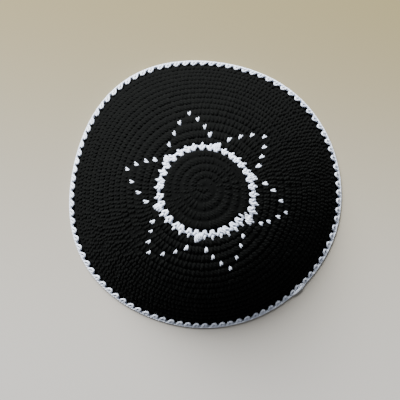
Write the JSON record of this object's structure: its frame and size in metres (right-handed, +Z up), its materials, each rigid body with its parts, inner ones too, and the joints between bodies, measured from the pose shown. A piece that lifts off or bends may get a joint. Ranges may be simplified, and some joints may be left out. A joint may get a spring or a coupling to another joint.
{
  "type": "crocheted kippah skullcap",
  "caption": "Round crocheted skullcap of black cotton with a white ring and a dotted white star on its crown and a white crocheted edging; it lies on its rim.",
  "frame": {"origin": "on the resting surface, under the middle of the rim", "axes": "+Z up through the crown, +X to the right and +Y away as the cap is seen from above, +X along its slightly longer width"},
  "size_m": [0.1687, 0.1656, 0.0474],
  "materials": {
    "black_yarn": "matt crocheted cotton",
    "white_yarn": "matt crocheted cotton"
  },
  "bodies": {
    "root": {"crown_centre": "black_yarn", "ring_round": "white_yarn", "crown_field": "black_yarn", "edge_round": "white_yarn"}
  },
  "joints": []
}
